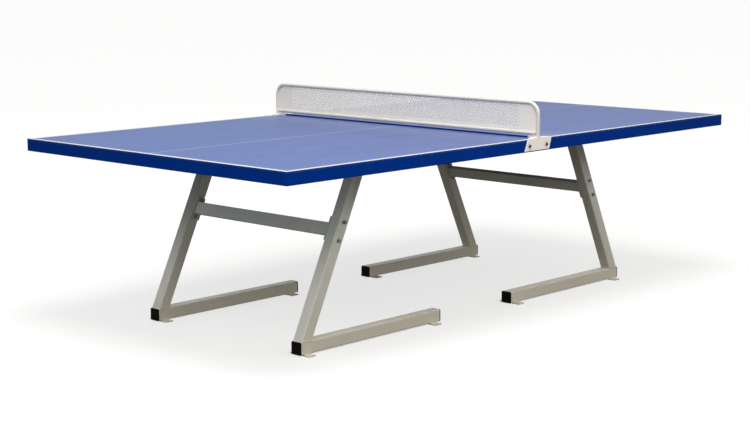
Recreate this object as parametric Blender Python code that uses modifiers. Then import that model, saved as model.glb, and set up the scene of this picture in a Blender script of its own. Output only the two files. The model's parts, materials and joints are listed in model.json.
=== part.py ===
# Outdoor table tennis table, one undercarriage of square tube under each half.
#
# Metres, +Z up.  The origin is on the ground under the middle of the table.
# +X runs along the 2.74 m length, the net stands over X = 0, and the near
# long side lies at -Y.  "left" is -X, "right" is +X, "far" is +Y.
#
# Every piece that touches another keeps a gap of CLEAR to it.

import bpy
import bmesh
import math
from mathutils import Matrix, Vector

# ---------------------------------------------------------------- dimensions
HALF_LENGTH = 1.3700        # half the playing length, 2.74 m in all
HALF_WIDTH = 0.7625         # half the playing width, 1.525 m in all
TOP = 0.7600                # height of the playing surface
BOARD = 0.0060              # thickness of the resin laminate board
JOINT = 0.0010              # half the gap between the two halves
CLEAR = 0.0003              # gap between pieces that touch

RAIL_H = 0.0437             # height of the folded apron channel
RAIL_D = 0.0300             # its flange depth
RAIL_T = 0.0020             # its sheet
RAIL_R = 0.0030             # outer radius of its lower bend
RAIL_R_TOP = 0.0012         # and of its upper edge, close under the board
LIP_UP = 0.0065             # joint rail's lip, over the playing surface
LIP_Y = 0.7050              # half its length, short of the net brackets
MITRE = 0.0003              # set-back of each mitred end

BEARER_W = 0.0800           # cross bearer under the board, along X
BEARER_H = 0.0400
BEARER_T = 0.0030
BEARER_X = 0.6750           # its centre from the net

TUBE = 0.0500               # square tube of legs and feet
TUBE_T = 0.0025
TUBE_R = 0.0050
FOOT_X0 = 0.2328            # foot tube, inner and outer end
FOOT_X1 = 1.0115
CAP_HEAD = 0.0055           # cap head outside each end
LEG_Y = 0.4220              # legs and feet from the centre line
LEAN = math.radians(25.0)   # legs lean towards the net

PLATE_T = 0.0040            # floor plate under a foot
PLATE_X = 0.0380
PLATE_Y = 0.1060
PLATE_OUTER = 0.9800        # plate centres from the net
PLATE_INNER = 0.2700
ANCHOR_D = 0.0110           # ground anchor hole
ANCHOR_Y = 0.0390           # its distance from the foot's centre line

FOOT_Z0 = PLATE_T + CLEAR               # underside of the foot tube
FOOT_Z1 = FOOT_Z0 + TUBE                # its top
LEG_Z0 = FOOT_Z1 + CLEAR                # where a leg starts
HEAD_T = 0.0080                         # head plate on a leg
RAIL_Z1 = TOP - BOARD - CLEAR           # top of rails and bearers
RAIL_Z0 = RAIL_Z1 - RAIL_H
BEARER_Z0 = RAIL_Z1 - BEARER_H
HEAD_Z1 = BEARER_Z0 - CLEAR
HEAD_Z0 = HEAD_Z1 - HEAD_T
LEG_X0 = BEARER_X + (HEAD_Z1 - LEG_Z0) * math.tan(LEAN)  # leg centre, low end

BEAM_Z = 0.4500             # cross beam between the two legs of a half
BEAM_W = 0.0500             # along the leg
BEAM_D = 0.0250
BEAM_T = 0.0020
BEAM_X = LEG_X0 - (BEAM_Z - LEG_Z0) * math.tan(LEAN)
FLANGE_T = 0.0050           # its end flange against the leg
FLANGE_W = 0.0480
FLANGE_L = 0.0940
BEAM_BOLT = 0.0370          # bolt from the beam's centre, along the leg

NET_Y = 0.7600              # net frame tube, centre line of its sides
NET_TOP = 0.9090            # top of the net, 149 mm over the board
NET_TUBE = 0.0160
NET_R = 0.0470              # centre line radius of its corners
NET_LOW_Z = 0.7805          # centre of the lower tube
NET_SHEET = 0.0020

BRACKET_T = 0.0040          # net bracket, face and top flange
BRACKET_Z0 = 0.7150
BRACKET_TOP = (-0.0680, 0.0800)     # near bracket, ends of its upper edge
BRACKET_LOW = (-0.0880, 0.0660)     # and of its lower edge
BRACKET_IN = 0.7440                 # how far in its top flange reaches
BRACKET_NECK = (0.7140, 0.7510)     # web under the lower tube, along Y
BRACKET_BOLTS = (-0.0600, 0.0480)
BRACKET_BOLT_Z = 0.7350

HEAD_BOLT_Y = 0.0550        # M10 bolts beside a leg's head
JOIN_Z = 0.7320             # bolt that joins the two halves

SIDES = 12                  # facets of bolts and holes

# ------------------------------------------------------------------ colours
BLUE_BOARD = ((0.27, 0.33, 0.60, 1.0), 0.35, 0.0)
BLUE_STEEL = ((0.005, 0.025, 0.20, 1.0), 0.40, 0.0)
GREY_STEEL = ((0.40, 0.38, 0.34, 1.0), 0.50, 0.6)
WHITE_STEEL = ((0.78, 0.77, 0.76, 1.0), 0.45, 0.0)
BLACK_PLASTIC = ((0.02, 0.02, 0.022, 1.0), 0.55, 0.0)
ZINC = ((0.55, 0.55, 0.54, 1.0), 0.35, 1.0)
DARK_STEEL = ((0.10, 0.10, 0.10, 1.0), 0.45, 1.0)

# -------------------------------------------------------------- scene set-up
for old in list(bpy.data.objects):
    bpy.data.objects.remove(old, do_unlink=True)

parts = bpy.data.collections.new("outdoor_table_tennis_table")
cutters = bpy.data.collections.new("cutters")
bpy.context.scene.collection.children.link(parts)
bpy.context.scene.collection.children.link(cutters)

table = bpy.data.objects.new("table_origin", None)
table.empty_display_size = 0.2
parts.objects.link(table)


# ------------------------------------------------------------------- helpers
def material(name, look):
    """A Principled material of its own for one part."""
    colour, rough, metal = look
    mat = bpy.data.materials.new(name)
    mat.use_nodes = True
    bsdf = mat.node_tree.nodes["Principled BSDF"]
    bsdf.inputs["Base Color"].default_value = colour
    bsdf.inputs["Roughness"].default_value = rough
    bsdf.inputs["Metallic"].default_value = metal
    return mat


def smooth(mesh, angle=35.0):
    mesh.shade_smooth()
    mesh.set_sharp_from_angle(angle=math.radians(angle))


def part(name, mesh, look, location=(0, 0, 0), rotation=(0, 0, 0)):
    """One named sub-part, placed by its own location and rotation."""
    mesh = mesh.copy()
    mesh.name = name
    mesh.materials.clear()
    mesh.materials.append(material(name + "_finish", look))
    ob = bpy.data.objects.new(name, mesh)
    ob.location = location
    ob.rotation_euler = rotation
    ob.parent = table
    parts.objects.link(ob)
    return ob


def helper(name, mesh, location=(0, 0, 0), rotation=(0, 0, 0)):
    """A cutter or a blank, kept out of the model."""
    ob = bpy.data.objects.new(name, mesh)
    ob.location = location
    ob.rotation_euler = rotation
    ob.hide_render = True
    ob.display_type = "WIRE"
    cutters.objects.link(ob)
    return ob


def evaluated(ob):
    """The mesh of a blank with its modifiers, in its own local frame."""
    bpy.context.view_layer.update()
    graph = bpy.context.evaluated_depsgraph_get()
    mesh = bpy.data.meshes.new_from_object(ob.evaluated_get(graph),
                                           depsgraph=graph)
    bm = bmesh.new()
    bm.from_mesh(mesh)
    bmesh.ops.remove_doubles(bm, verts=bm.verts, dist=1e-6)
    bmesh.ops.recalc_face_normals(bm, faces=bm.faces)
    bm.to_mesh(mesh)
    bm.free()
    return mesh


def box(size, centre=(0, 0, 0), split=False):
    """A box.  Split, each side is two triangles, so that a tube's end
    which stands on a side doesn't leave an island inside one face."""
    bm = bmesh.new()
    bmesh.ops.create_cube(bm, size=1.0)
    bmesh.ops.scale(bm, vec=size, verts=bm.verts)
    bmesh.ops.translate(bm, vec=centre, verts=bm.verts)
    if split:
        bmesh.ops.triangulate(bm, faces=bm.faces)
    mesh = bpy.data.meshes.new("box")
    bm.to_mesh(mesh)
    bm.free()
    return mesh


def cylinders(rods):
    """Round rods as one mesh: (diameter, length, centre, axis, facets)."""
    bm = bmesh.new()
    for diameter, length, centre, axis, facets in rods:
        turn = Vector((0, 0, 1)).rotation_difference(Vector(axis)).to_matrix()
        half = Matrix.Rotation(math.pi / facets, 4, "Z")
        bmesh.ops.create_cone(
            bm, cap_ends=True, segments=facets, radius1=diameter / 2,
            radius2=diameter / 2, depth=length,
            matrix=Matrix.Translation(centre) @ turn.to_4x4() @ half)
    mesh = bpy.data.meshes.new("rods")
    bm.to_mesh(mesh)
    bm.free()
    return mesh


def rod(diameter, z0, z1, y=0.0, facets=SIDES):
    """An upright rod between two heights."""
    return (diameter, z1 - z0, (0, y, (z0 + z1) / 2), (0, 0, 1), facets)


def hexagon(across, height, centre, axis):
    """A hexagon head or nut, measured across its flats."""
    return (across / math.cos(math.pi / 6), height, centre, axis, 6)


def rounded(width, height, radius, steps=3):
    """Corner points of a rounded rectangle around the origin."""
    pts = []
    for k, (sx, sy) in enumerate(((1, 1), (-1, 1), (-1, -1), (1, -1))):
        cx, cy = sx * (width / 2 - radius), sy * (height / 2 - radius)
        for i in range(steps + 1):
            a = math.pi / 2 * (k + i / steps)
            pts.append((cx + radius * math.cos(a), cy + radius * math.sin(a)))
    return pts


def extruded(loops, thickness):
    """A flat outline in local XY, as thick as given along local Z."""
    curve = bpy.data.curves.new("outline", "CURVE")
    curve.dimensions = "2D"
    curve.fill_mode = "BOTH"
    curve.extrude = thickness / 2
    for pts in loops:
        spline = curve.splines.new("POLY")
        spline.points.add(len(pts) - 1)
        for point, (x, y) in zip(spline.points, pts):
            point.co = (x, y, 0.0, 1.0)
        spline.use_cyclic_u = True
    blank = helper("outline_blank", curve)
    mesh = evaluated(blank)
    bpy.data.objects.remove(blank, do_unlink=True)
    return mesh


def turned(mesh, matrix):
    """The mesh in another local frame."""
    mesh.transform(matrix)
    return mesh


def combine(mesh, steps):
    """Boolean steps on a blank: ("UNION" or "DIFFERENCE", mesh)."""
    blank = helper("blank", mesh)
    tools = []
    for k, (operation, other) in enumerate(steps):
        tool = helper("tool_%d" % k, other)
        mod = blank.modifiers.new("Boolean", "BOOLEAN")
        mod.operation = operation
        mod.solver = "EXACT"
        mod.object = tool
        tools.append(tool)
    result = evaluated(blank)
    for ob in tools + [blank]:
        bpy.data.objects.remove(ob, do_unlink=True)
    return result


X, Y, Z = (1, 0, 0), (0, 1, 0), (0, 0, 1)
HALVES = (("left", -1), ("right", 1))
ROWS = (("near", -1), ("far", 1))


def about_z(side):
    """Right-hand pieces lie as made, left-hand ones are turned round."""
    return (0, 0, 0 if side > 0 else math.pi)


# ------------------------------------------------------------ playing boards
board_x0 = JOINT + RAIL_T + CLEAR           # beside the joint rail's lip
board_len = HALF_LENGTH - board_x0
board = box((board_len, 2 * HALF_WIDTH, BOARD))
smooth(board)
for side_name, side in HALVES:
    part("playing_board_" + side_name, board, BLUE_BOARD,
         (side * (board_x0 + board_len / 2), 0, TOP - BOARD / 2))


# --------------------------------------------------------------- apron rails
def channel_outline(lip=0.0):
    """Folded C section: x is depth from the web's outer face, y is height.
    With a lip, the web stands up past the upper flange by that much."""
    r, t, d, h = RAIL_R, RAIL_T, RAIL_D, RAIL_H / 2
    pts = [(d, -h)]
    for i in range(4):                                  # lower outer bend
        a = math.radians(270 - 30 * i)
        pts.append((r + r * math.cos(a), -h + r + r * math.sin(a)))
    if lip:
        pts += [(0, h + lip), (t, h + lip), (t, h)]
    else:
        r = RAIL_R_TOP
        for i in range(3):                              # upper outer edge
            a = math.radians(180 - 45 * i)
            pts.append((r + r * math.cos(a), h - r + r * math.sin(a)))
    pts += [(d, h), (d, h - t), (t, h - t)]
    r, q = RAIL_R, RAIL_R - t
    for i in range(3):                                  # lower inner bend
        a = math.radians(180 + 45 * i)
        pts.append((r + q * math.cos(a), -h + r + q * math.sin(a)))
    pts.append((d, -h + t))
    return pts


def rail(name, length, inward, centre, holes=(), lip=0.0):
    """Channel with both ends mitred, its web outwards, its top up."""
    mesh = extruded([channel_outline(lip)], length)
    for v in mesh.vertices:                 # mitre: each end follows the depth
        v.co.z -= math.copysign(v.co.x + MITRE, v.co.z)
    inward = Vector(inward)
    along = inward.cross(Vector(Z))
    frame = Matrix((inward, Vector(Z), along)).transposed()
    steps = []
    if lip:                                 # the lip stops short of both ends
        spare = 0.02
        out = (length / 2 + spare - LIP_Y) / 2
        for k in (-1, 1):
            steps.append(("DIFFERENCE", box(
                (0.02, 0.02, 2 * out),
                (0, RAIL_H / 2 + 0.01 + CLEAR / 10, k * (LIP_Y + out)))))
    if holes:
        cut = [(d, 0.02, (RAIL_T / 2, v, u), X, SIDES) for d, u, v in holes]
        steps.append(("DIFFERENCE", cylinders(cut)))
    if steps:
        mesh = combine(mesh, steps)
    smooth(mesh)
    return part(name, mesh, BLUE_STEEL, centre, frame.to_euler())


rail_zc = RAIL_Z1 - RAIL_H / 2
side_len = HALF_LENGTH - JOINT
half_x = JOINT + side_len / 2
for side_name, side in HALVES:
    rail("apron_end_" + side_name, 2 * HALF_WIDTH, (-side, 0, 0),
         (side * HALF_LENGTH, 0, rail_zc))
    rail("joint_rail_" + side_name, 2 * HALF_WIDTH, (side, 0, 0),
         (side * JOINT, 0, rail_zc), [(0.009, 0.0, JOIN_Z - rail_zc)],
         TOP + LIP_UP - RAIL_Z1)
    for row_name, row in ROWS:
        # the far bracket is the near one turned round, so are its bolts
        bolt_x = [-row * b for b in BRACKET_BOLTS if -row * b * side > 0][0]
        along = -row                        # local length axis along +-X
        rail("apron_%s_%s" % (row_name, side_name), side_len, (0, -row, 0),
             (side * half_x, row * HALF_WIDTH, rail_zc),
             [(0.009, along * (bolt_x - side * half_x),
               BRACKET_BOLT_Z - rail_zc)])

# ------------------------------------------------------------- top bearers
bearer_len = 2 * (HALF_WIDTH - RAIL_D - CLEAR)
bearer = extruded([rounded(BEARER_W, BEARER_H, 0.004),
                   rounded(BEARER_W - 2 * BEARER_T, BEARER_H - 2 * BEARER_T,
                           0.001, 1)], bearer_len)
turned(bearer, Matrix.Rotation(math.pi / 2, 4, "X"))
bearer = combine(bearer, [("DIFFERENCE", cylinders(
    [(0.011, 0.010, (0, row * LEG_Y + k * HEAD_BOLT_Y,
                     -BEARER_H / 2 + BEARER_T / 2), Z, SIDES)
     for row in (-1, 1) for k in (-1, 1)]))])
smooth(bearer)
for side_name, side in HALVES:
    part("top_bearer_" + side_name, bearer, BLUE_STEEL,
         (side * BEARER_X, 0, BEARER_Z0 + BEARER_H / 2))

# --------------------------------------------------------------------- legs
# The blank stands with its low end's centre at the origin and leans to -X.
leg_rise = HEAD_Z1 - HEAD_T * 0.6 - LEG_Z0
leg = extruded([rounded(TUBE, TUBE, TUBE_R),
                rounded(TUBE - 2 * TUBE_T, TUBE - 2 * TUBE_T,
                        TUBE_R - TUBE_T)], leg_rise / math.cos(LEAN))
for v in leg.vertices:                      # both ends cut level
    v.co.z += v.co.x * math.tan(-LEAN)
turned(leg, Matrix.Rotation(-LEAN, 4, "Y")
       @ Matrix.Translation((0, 0, leg_rise / math.cos(LEAN) / 2)))
top_x = -(HEAD_Z1 - LEG_Z0) * math.tan(LEAN)
plate_z = HEAD_Z0 + HEAD_T / 2 - LEG_Z0
axis = Vector((-math.sin(LEAN), 0, math.cos(LEAN)))
beam_at = Vector((BEAM_X - LEG_X0, 0, BEAM_Z - LEG_Z0))
leg = combine(leg, [
    ("UNION", box((0.080, 0.150, HEAD_T), (top_x, 0, plate_z), True)),
    ("DIFFERENCE", cylinders(
        [(0.011, 0.020, (top_x, k * HEAD_BOLT_Y, plate_z), Z, SIDES)
         for k in (-1, 1)]
        + [(0.009, 0.070, beam_at + k * BEAM_BOLT * axis, Y, SIDES)
           for k in (-1, 1)]))])
smooth(leg)

# --------------------------------------------------------------------- feet
foot_len = FOOT_X1 - FOOT_X0
foot = extruded([rounded(TUBE, TUBE, TUBE_R),
                 rounded(TUBE - 2 * TUBE_T, TUBE - 2 * TUBE_T,
                         TUBE_R - TUBE_T)], foot_len)
turned(foot, Matrix.Rotation(math.pi / 2, 4, "Y"))
smooth(foot)

# black cap, head outwards along +X, hollow plug inside the tube
cap_plug = 0.018
head = turned(extruded([rounded(TUBE, TUBE, TUBE_R)], CAP_HEAD),
              Matrix.Translation((0, 0, CLEAR + CAP_HEAD / 2)))
plug_w = TUBE - 2 * TUBE_T - 2 * CLEAR
plug = turned(extruded([rounded(plug_w, plug_w, 0.003)], cap_plug + 0.003),
              Matrix.Translation((0, 0, -(cap_plug - 0.003) / 2)))
core = turned(extruded([rounded(plug_w - 0.005, plug_w - 0.005, 0.002, 2)],
                       cap_plug),
              Matrix.Translation((0, 0, -cap_plug / 2 - 0.0005)))
cap = combine(head, [("UNION", plug), ("DIFFERENCE", core)])
turned(cap, Matrix.Rotation(math.pi / 2, 4, "Y"))
smooth(cap)

# steel pad under a foot, with a ground anchor hole on each side of the tube
pad = extruded([rounded(PLATE_X, PLATE_Y, 0.003, 2)], PLATE_T)
pad = combine(pad, [("DIFFERENCE", cylinders(
    [(ANCHOR_D, 0.02, (0, k * ANCHOR_Y, 0), Z, SIDES) for k in (-1, 1)]))])
smooth(pad)

# ---------------------------------------------------------------- leg fixings
# Beam bolt: origin on the leg's outer face, +Z outwards, washer under head.
grip = TUBE + CLEAR + FLANGE_T
c = CLEAR
beam_bolt = combine(
    cylinders([rod(0.008, -grip - 0.011, 0.004)]),
    [("UNION", cylinders([(0.016, 0.0016, (0, 0, c + 0.0008), Z, SIDES)])),
     ("UNION", cylinders([hexagon(0.013, 0.0055, (0, 0, c + 0.0014 + 0.00275),
                                  Z)])),
     ("UNION", cylinders([hexagon(0.013, 0.0065,
                                  (0, 0, -grip - c - 0.00325), Z)]))])
smooth(beam_bolt, 25)

# Head bolts of one leg: two M10 bolts up into one tapped strip.
# The origin is on the underside of the head plate, under the leg's top.
strip_z0 = HEAD_T + CLEAR + BEARER_T + CLEAR
head_set = combine(
    box((0.040, 0.150, 0.006), (0, 0, strip_z0 + 0.003)),
    [("UNION", cylinders([rod(0.010, -0.003, strip_z0 + 0.011,
                              k * HEAD_BOLT_Y) for k in (-1, 1)])),
     ("UNION", cylinders([hexagon(0.017, 0.0064,
                                  (0, k * HEAD_BOLT_Y, -c - 0.0032), Z)
                          for k in (-1, 1)]))])
smooth(head_set, 25)

# ---------------------------------------------------------------- cross beam
# Along Y; local Z lies along the leg once the beam is leaned.
beam_half = LEG_Y - TUBE / 2 - CLEAR
beam = extruded([rounded(BEAM_D, BEAM_W, 0.003),
                 rounded(BEAM_D - 2 * BEAM_T, BEAM_W - 2 * BEAM_T, 0.001, 1)],
                2 * (beam_half - FLANGE_T + 0.002))
turned(beam, Matrix.Rotation(math.pi / 2, 4, "X"))
flanges = [("UNION", box((FLANGE_W, FLANGE_T, FLANGE_L),
                         (0, k * (beam_half - FLANGE_T / 2), 0), True))
           for k in (-1, 1)]
holes = []
for k in (-1, 1):
    yc = k * (beam_half - FLANGE_T / 2)
    holes.append((0.012, 0.020, (0, yc, 0), Y, SIDES))      # vent of the tube
    holes += [(0.009, 0.020, (0, yc, j * BEAM_BOLT), Y, SIDES)
              for j in (-1, 1)]
beam = combine(beam, flanges + [("DIFFERENCE", cylinders(holes))])
smooth(beam)

# --------------------------------------------------- the two undercarriages
for side_name, side in HALVES:
    # The beam leans with the legs: to -X on the right, to +X on the left.
    part("cross_beam_" + side_name, beam, GREY_STEEL,
         (side * BEAM_X, 0, BEAM_Z), (0, -side * LEAN, 0))
    for row_name, row in ROWS:
        where = row_name + "_" + side_name
        part("leg_" + where, leg, GREY_STEEL,
             (side * LEG_X0, row * LEG_Y, LEG_Z0), about_z(side))
        part("foot_" + where, foot, GREY_STEEL,
             (side * (FOOT_X0 + FOOT_X1) / 2, row * LEG_Y,
              FOOT_Z0 + TUBE / 2))
        part("foot_cap_outer_" + where, cap, BLACK_PLASTIC,
             (side * FOOT_X1, row * LEG_Y, FOOT_Z0 + TUBE / 2),
             about_z(side))
        part("foot_cap_inner_" + where, cap, BLACK_PLASTIC,
             (side * FOOT_X0, row * LEG_Y, FOOT_Z0 + TUBE / 2),
             about_z(-side))
        part("floor_plate_outer_" + where, pad, GREY_STEEL,
             (side * PLATE_OUTER, row * LEG_Y, PLATE_T / 2))
        part("floor_plate_inner_" + where, pad, GREY_STEEL,
             (side * PLATE_INNER, row * LEG_Y, PLATE_T / 2))
        part("head_bolts_" + where, head_set, ZINC,
             (side * BEARER_X, row * LEG_Y, HEAD_Z0))
        for level, j in (("lower", -1), ("upper", 1)):
            part("beam_bolt_%s_%s" % (level, where), beam_bolt, ZINC,
                 (side * (BEAM_X - j * BEAM_BOLT * math.sin(LEAN)),
                  row * (LEG_Y + TUBE / 2),
                  BEAM_Z + j * BEAM_BOLT * math.cos(LEAN)),
                 Matrix.Rotation(-row * math.pi / 2, 4, "X").to_euler())

# ---------------------------------------------------------------------- net
net_top_z = NET_TOP - NET_TUBE / 2
foot_of_net = TOP + CLEAR + BRACKET_T + CLEAR
path = [(0, -NET_Y, foot_of_net), (0, -NET_Y, NET_LOW_Z)]
for row, order in ((-1, range(0, 9)), (1, range(8, -1, -1))):
    for i in order:
        a = math.pi / 2 * i / 8
        path.append((0, row * (NET_Y - NET_R + NET_R * math.cos(a)),
                     net_top_z - NET_R + NET_R * math.sin(a)))
path += [(0, NET_Y, NET_LOW_Z), (0, NET_Y, foot_of_net)]
curve = bpy.data.curves.new("net_frame_path", "CURVE")
curve.dimensions = "3D"
curve.bevel_depth = NET_TUBE / 2
curve.bevel_resolution = 4
curve.use_fill_caps = True
spline = curve.splines.new("POLY")
spline.points.add(len(path) - 1)
for point, co in zip(spline.points, path):
    point.co = (*co, 1.0)
blank = helper("net_frame_blank", curve)
frame_mesh = evaluated(blank)
bpy.data.objects.remove(blank, do_unlink=True)
smooth(frame_mesh)
part("net_frame", frame_mesh, WHITE_STEEL)

lower = cylinders([(NET_TUBE, 2 * (NET_Y - NET_TUBE / 2 - CLEAR), (0, 0, 0), Y,
                    16)])
smooth(lower)
part("net_lower_tube", lower, WHITE_STEEL, (0, 0, NET_LOW_Z))

# the sheet inside the frame: outline in Y and Z, 2 mm thick along X
sheet_y = NET_Y - NET_TUBE / 2 - CLEAR
sheet_z0 = NET_LOW_Z + NET_TUBE / 2 + CLEAR
sheet_z1 = NET_TOP - NET_TUBE - CLEAR
r = NET_R - NET_TUBE / 2 - CLEAR
pts = [(-sheet_y, sheet_z0), (sheet_y, sheet_z0)]
for row, order in ((1, range(0, 9)), (-1, range(8, -1, -1))):
    for i in order:
        a = math.pi / 2 * i / 8
        pts.append((row * (sheet_y - r + r * math.cos(a)),
                    sheet_z1 - r + r * math.sin(a)))
sheet = extruded([pts], NET_SHEET)
smooth(sheet)
part("net_panel", sheet, WHITE_STEEL, (0, 0, 0),
     Matrix(((0, 0, 1), (1, 0, 0), (0, 1, 0))).to_euler())

# ------------------------------------------------------------- net brackets
# The near bracket: a leaning face over the apron and a flange on the board.
face_y1 = HALF_WIDTH + CLEAR                # inner surface of the face
flange_z0 = TOP + CLEAR
flange_z1 = flange_z0 + BRACKET_T
face = extruded([[(BRACKET_LOW[0], BRACKET_Z0), (BRACKET_LOW[1], BRACKET_Z0),
                  (BRACKET_TOP[1], flange_z1), (BRACKET_TOP[0], flange_z1)]],
                BRACKET_T)
turned(face, Matrix(((1, 0, 0, 0), (0, 0, -1, -(face_y1 + BRACKET_T / 2)),
                     (0, 1, 0, 0), (0, 0, 0, 1))))
y_out = -(face_y1 + BRACKET_T * 0.75)
flange = extruded([[(BRACKET_TOP[0] + 0.003, y_out),
                    (BRACKET_TOP[1] - 0.003, y_out),
                    (0.055, -BRACKET_IN), (-0.040, -BRACKET_IN)]],
                  BRACKET_T * 0.98)
turned(flange, Matrix.Translation((0, 0, flange_z0 + BRACKET_T * 0.49)))
neck_z1 = NET_LOW_Z - NET_TUBE / 2 - CLEAR
neck_z0 = flange_z0 + CLEAR
neck = box((0.004, BRACKET_NECK[1] - BRACKET_NECK[0], neck_z1 - neck_z0),
           (0, -(BRACKET_NECK[0] + BRACKET_NECK[1]) / 2,
            (neck_z1 + neck_z0) / 2))
bracket = combine(face, [
    ("UNION", flange), ("UNION", neck),
    ("DIFFERENCE", cylinders([(0.009, 0.03, (bx, -face_y1, BRACKET_BOLT_Z), Y,
                               SIDES) for bx in BRACKET_BOLTS]))])
smooth(bracket)

# its bolts: domed head outwards along +Z, nut behind the apron web
dome = cylinders([(0.013, 0.0045, (0, 0, c + 0.00225), Z, SIDES)])
blank = helper("dome_blank", dome)
mod = blank.modifiers.new("Bevel", "BEVEL")
mod.width = 0.0030
mod.segments = 2
mod.limit_method = "ANGLE"
mod.angle_limit = math.radians(60)
mod.use_clamp_overlap = True
dome = evaluated(blank)
bpy.data.objects.remove(blank, do_unlink=True)
grip = BRACKET_T + CLEAR + RAIL_T
dome_bolt = combine(
    cylinders([rod(0.008, -grip - 0.010, 0.0025)]),
    [("UNION", dome),
     ("UNION", cylinders([hexagon(0.013, 0.0065, (0, 0, -grip - c - 0.00325),
                                  Z)]))])
smooth(dome_bolt, 25)

for row_name, row in ROWS:
    turn = (0, 0, 0 if row < 0 else math.pi)
    part("net_bracket_" + row_name, bracket, GREY_STEEL, (0, 0, 0), turn)
    for bx in BRACKET_BOLTS:
        x = -row * bx
        part("bracket_bolt_%s_%s" % (row_name, "left" if x < 0 else "right"),
             dome_bolt, DARK_STEEL,
             (x, row * (face_y1 + BRACKET_T), BRACKET_BOLT_Z),
             Matrix.Rotation(-row * math.pi / 2, 4, "X").to_euler())

# ------------------------------------------------- bolt between the halves
reach = JOINT + RAIL_T + CLEAR
joiner = combine(
    cylinders([(0.008, 2 * reach + 0.014, (0.004, 0, 0), X, SIDES)]),
    [("UNION", cylinders([hexagon(0.013, 0.0055, (-reach - 0.00275, 0, 0), X)])),
     ("UNION", cylinders([hexagon(0.013, 0.0065, (reach + 0.00325, 0, 0), X)]))])
smooth(joiner, 25)
part("joining_bolt", joiner, ZINC, (0, 0, JOIN_Z))

bpy.context.view_layer.update()
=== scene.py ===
import json
import math

import bmesh
import bpy
from mathutils import Matrix, Vector


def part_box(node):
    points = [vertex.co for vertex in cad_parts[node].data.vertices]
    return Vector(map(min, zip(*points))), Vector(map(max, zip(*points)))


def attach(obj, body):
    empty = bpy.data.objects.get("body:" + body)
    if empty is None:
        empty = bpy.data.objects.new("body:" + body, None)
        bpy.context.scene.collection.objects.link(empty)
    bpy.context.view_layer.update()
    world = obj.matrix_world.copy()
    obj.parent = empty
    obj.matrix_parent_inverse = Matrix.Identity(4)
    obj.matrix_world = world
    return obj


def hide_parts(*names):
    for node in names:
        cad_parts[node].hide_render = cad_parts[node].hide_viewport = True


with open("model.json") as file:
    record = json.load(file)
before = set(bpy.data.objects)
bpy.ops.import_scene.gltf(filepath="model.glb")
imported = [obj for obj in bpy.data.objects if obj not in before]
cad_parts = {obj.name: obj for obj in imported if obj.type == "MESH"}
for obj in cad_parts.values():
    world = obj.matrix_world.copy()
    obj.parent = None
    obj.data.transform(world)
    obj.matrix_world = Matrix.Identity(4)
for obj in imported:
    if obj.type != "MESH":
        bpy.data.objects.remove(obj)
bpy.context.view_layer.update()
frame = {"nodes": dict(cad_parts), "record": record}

NODES = frame["nodes"]
SCENE = bpy.context.scene
X, Y, Z = Vector((1, 0, 0)), Vector((0, 1, 0)), Vector((0, 0, 1))
LEAN = math.radians(25.0)
HALVES = (("left", -1), ("right", 1))
ROWS = (("near", -1), ("far", 1))


# ------------------------------------------------------------------- camera
def make_camera():
    """The photograph's place and direction, with a centred lens."""
    yaw, pitch, roll = 0.8074, 0.1563, 0.0034
    fwd = Vector((math.sin(yaw) * math.cos(pitch),
                  math.cos(yaw) * math.cos(pitch), -math.sin(pitch)))
    right = Vector((math.cos(yaw), -math.sin(yaw), 0.0))
    down = fwd.cross(right)
    r2 = math.cos(roll) * right + math.sin(roll) * down
    d2 = -math.sin(roll) * right + math.cos(roll) * down
    cam = bpy.data.cameras.new("photo_camera")
    cam.lens = 1560.159 * 36.0 / 750.0
    cam.sensor_width = 36.0
    cam.sensor_fit = "HORIZONTAL"
    cam.clip_start = 0.05
    cam.clip_end = 200.0
    ob = bpy.data.objects.new("photo_camera", cam)
    rot = Matrix((r2, -d2, -fwd)).transposed()
    ob.matrix_world = (Matrix.Translation((-4.91452, -4.56376, 1.44400))
                       @ rot.to_4x4())
    SCENE.collection.objects.link(ob)
    SCENE.camera = ob


make_camera()


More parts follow.
